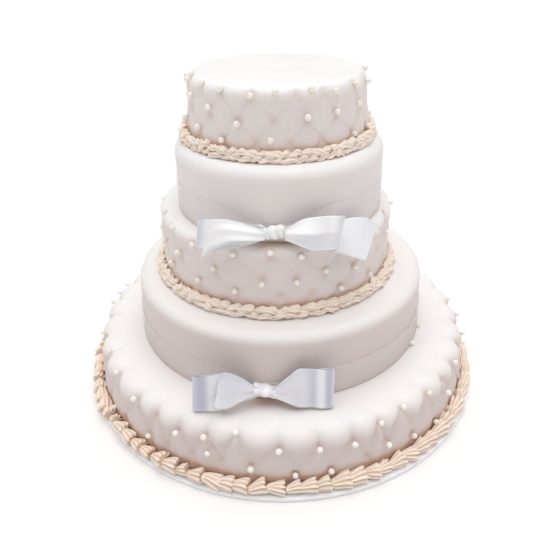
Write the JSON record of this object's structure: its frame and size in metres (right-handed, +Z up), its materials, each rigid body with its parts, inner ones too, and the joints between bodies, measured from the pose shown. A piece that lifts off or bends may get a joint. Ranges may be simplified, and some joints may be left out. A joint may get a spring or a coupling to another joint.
{
  "type": "tiered wedding cake",
  "caption": "Round tiered wedding cake in white fondant, alternate tiers quilted with pearls and piped borders, the others tied with satin ribbon bows, on a thin white board.",
  "frame": {"origin": "middle of the board's underside, on the surface that the cake stands on", "axes": "+Z up along the tiers' axis, -Y towards the front, where the bows are, +X to the right as seen from the front"},
  "size_m": [0.4064, 0.4064, 0.306],
  "materials": {
    "fondant": "smooth white sugar paste, soft sheen",
    "piping_cream": "piped cream icing, satin",
    "satin_ribbon": "white satin ribbon",
    "board_card": "white covered cake board",
    "sugar_pearl": "ivory sugar pearl, pearly gloss"
  },
  "bodies": {
    "root": {"board": "board_card", "tier_1": "fondant", "tier_2": "fondant", "tier_3": "fondant", "tier_4": "fondant", "tier_5": "fondant", "border_1": "piping_cream", "border_3": "piping_cream", "border_5": "piping_cream", "band_2": "satin_ribbon", "band_4": "satin_ribbon", "bow_2_knot": "satin_ribbon", "bow_2_loop_left": "satin_ribbon", "bow_2_loop_right": "satin_ribbon", "bow_4_knot": "satin_ribbon", "bow_4_loop_left": "satin_ribbon", "bow_4_loop_right": "satin_ribbon", "bow_4_tail_left": "satin_ribbon", "bow_4_tail_right": "satin_ribbon"}
  },
  "joints": []
}
